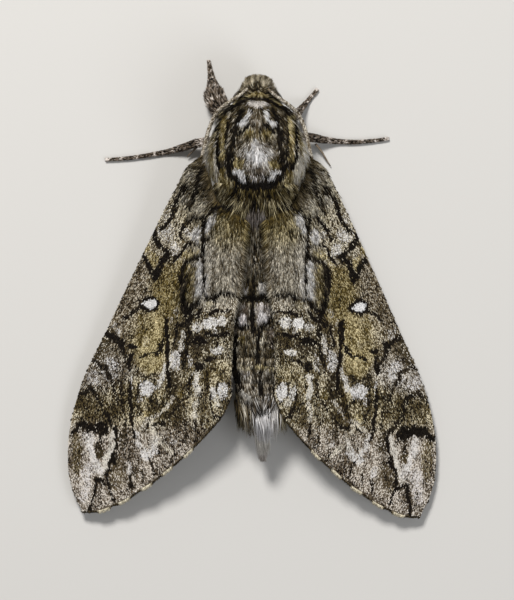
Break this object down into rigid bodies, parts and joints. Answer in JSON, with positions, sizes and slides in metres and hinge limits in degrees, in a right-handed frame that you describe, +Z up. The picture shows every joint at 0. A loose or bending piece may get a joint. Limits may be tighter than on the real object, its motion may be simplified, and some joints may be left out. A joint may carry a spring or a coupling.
{
  "type": "waved sphinx moth model",
  "caption": "Life-size still model of a sphinx moth at rest, wings folded like a low roof over the abdomen and feet on the ground, as a museum shows it.",
  "frame": {"origin": "centre of the footprint of the whole moth, on the plane its feet stand on", "axes": "-Y the way the head faces, +X the moth's left side, +Z up from the ground"},
  "size_m": [0.0434, 0.0538, 0.0119],
  "materials": {
    "body_fur": "dense matt hair and scales, cream, brown and black",
    "abdomen_fur": "dense matt scales, grey-brown with pale and dark marks",
    "forewing_scales": "matt wing scales, cream, tan and black in waved bands",
    "hindwing_scales": "matt wing scales, brownish grey with darker bands",
    "leg_scales": "matt scales and short hair, grey-brown and cream",
    "eye": "glossy dark compound eye"
  },
  "bodies": {
    "root": {"abdomen_1": "abdomen_fur", "abdomen_2": "abdomen_fur", "abdomen_3": "abdomen_fur", "abdomen_4": "abdomen_fur", "abdomen_5": "abdomen_fur", "abdomen_6": "abdomen_fur", "abdomen_7": "abdomen_fur", "antenna_left": "leg_scales", "antenna_right": "leg_scales", "collar": "body_fur", "eye_left": "eye", "eye_right": "eye", "foreleg_left": "leg_scales", "foreleg_right": "leg_scales", "forewing_left": "forewing_scales", "forewing_right": "forewing_scales", "head": "body_fur", "hindleg_left": "leg_scales", "hindleg_right": "leg_scales", "hindwing_left": "hindwing_scales", "hindwing_right": "hindwing_scales", "midleg_left": "leg_scales", "midleg_right": "leg_scales", "palp_left": "body_fur", "palp_right": "body_fur", "tail_tuft": "abdomen_fur", "tegula_left": "body_fur", "tegula_right": "body_fur", "thorax": "body_fur"}
  },
  "joints": []
}
